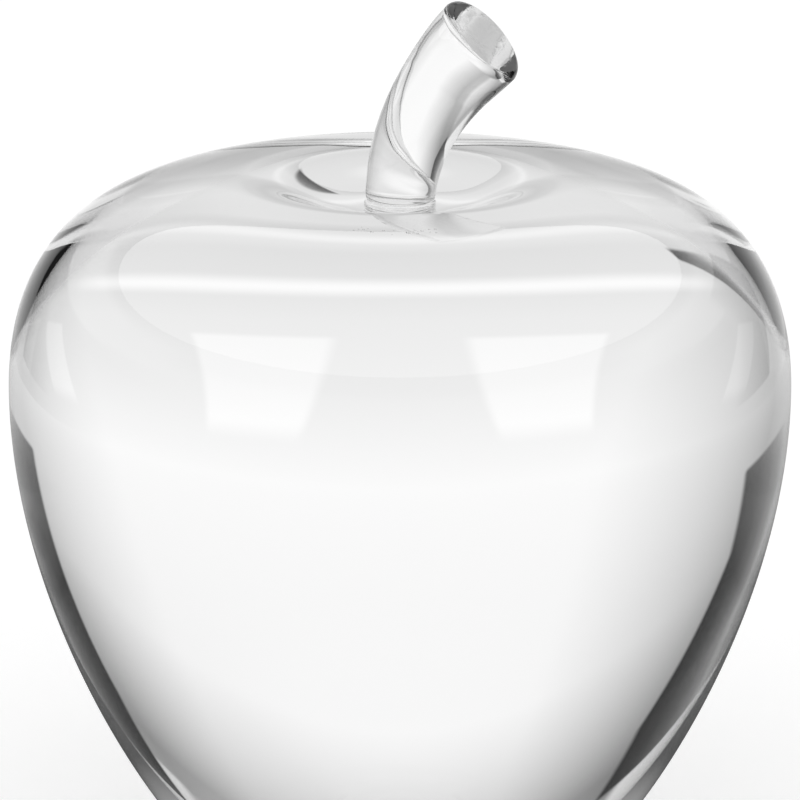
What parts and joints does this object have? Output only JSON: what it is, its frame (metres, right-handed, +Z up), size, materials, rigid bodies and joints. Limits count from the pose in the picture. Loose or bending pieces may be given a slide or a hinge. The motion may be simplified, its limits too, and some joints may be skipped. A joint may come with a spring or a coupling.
{
  "type": "art glass apple",
  "caption": "Solid clear glass apple ornament with a shallow dimple, a curved clear glass stem with a sheared tip, and a flat polished base.",
  "frame": {"origin": "centre of the flat polished base, on the surface that the apple stands on", "axes": "+Z up along the apple's axis; the stem leans towards +X; the pictured front faces -Y"},
  "size_m": [0.09, 0.09, 0.101],
  "materials": {
    "clear_glass": "clear, fire-polished and ground-polished"
  },
  "bodies": {
    "root": {"glass_body": "clear_glass", "glass_stem": "clear_glass"}
  },
  "joints": []
}
